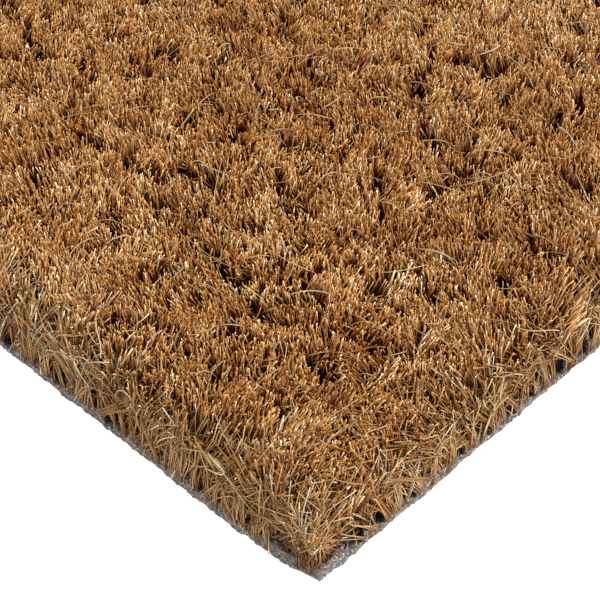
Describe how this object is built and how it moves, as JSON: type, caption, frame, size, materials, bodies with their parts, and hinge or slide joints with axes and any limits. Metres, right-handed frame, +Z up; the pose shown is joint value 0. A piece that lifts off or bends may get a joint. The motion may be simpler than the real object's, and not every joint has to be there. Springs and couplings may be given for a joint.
{
  "type": "door mat",
  "caption": "Rectangular door mat with a dense pile of cut coir tufts planted in rows in a thin grey PVC backing sheet that lies flat on the floor.",
  "frame": {"origin": "centre of the underside of the backing sheet, on the floor", "axes": "+X along the long side, +Y across the width, +Z up through the pile"},
  "size_m": [0.6, 0.4, 0.015],
  "materials": {
    "coir": "golden brown natural coir fibre, dry and slightly glossy along each fibre",
    "pvc_sheet": "mottled mid-grey fused PVC, granular where cut"
  },
  "bodies": {
    "root": {"backing_sheet": "pvc_sheet", "tuft_rows_01": "coir", "tuft_rows_02": "coir", "tuft_rows_03": "coir", "tuft_rows_04": "coir", "tuft_rows_05": "coir", "tuft_rows_06": "coir", "tuft_rows_07": "coir", "tuft_rows_08": "coir", "tuft_rows_09": "coir", "tuft_rows_10": "coir", "tuft_rows_11": "coir", "tuft_rows_12": "coir", "tuft_rows_13": "coir", "tuft_rows_14": "coir", "tuft_rows_15": "coir", "tuft_rows_16": "coir", "tuft_rows_17": "coir", "tuft_rows_18": "coir", "tuft_rows_19": "coir", "tuft_rows_20": "coir", "tuft_rows_21": "coir", "tuft_rows_22": "coir", "tuft_rows_23": "coir", "tuft_rows_24": "coir", "tuft_rows_25": "coir", "tuft_rows_26": "coir", "tuft_rows_27": "coir", "tuft_rows_28": "coir", "tuft_rows_29": "coir", "tuft_rows_30": "coir", "tuft_rows_31": "coir", "tuft_rows_32": "coir", "tuft_rows_33": "coir", "tuft_rows_34": "coir", "tuft_rows_35": "coir", "tuft_rows_36": "coir", "tuft_rows_37": "coir", "tuft_rows_38": "coir", "tuft_rows_39": "coir", "tuft_rows_40": "coir", "tuft_rows_41": "coir", "tuft_rows_42": "coir", "tuft_rows_43": "coir", "tuft_rows_44": "coir", "tuft_rows_45": "coir", "tuft_rows_46": "coir", "tuft_rows_47": "coir", "tuft_rows_48": "coir", "tuft_rows_49": "coir", "tuft_rows_50": "coir"}
  },
  "joints": []
}
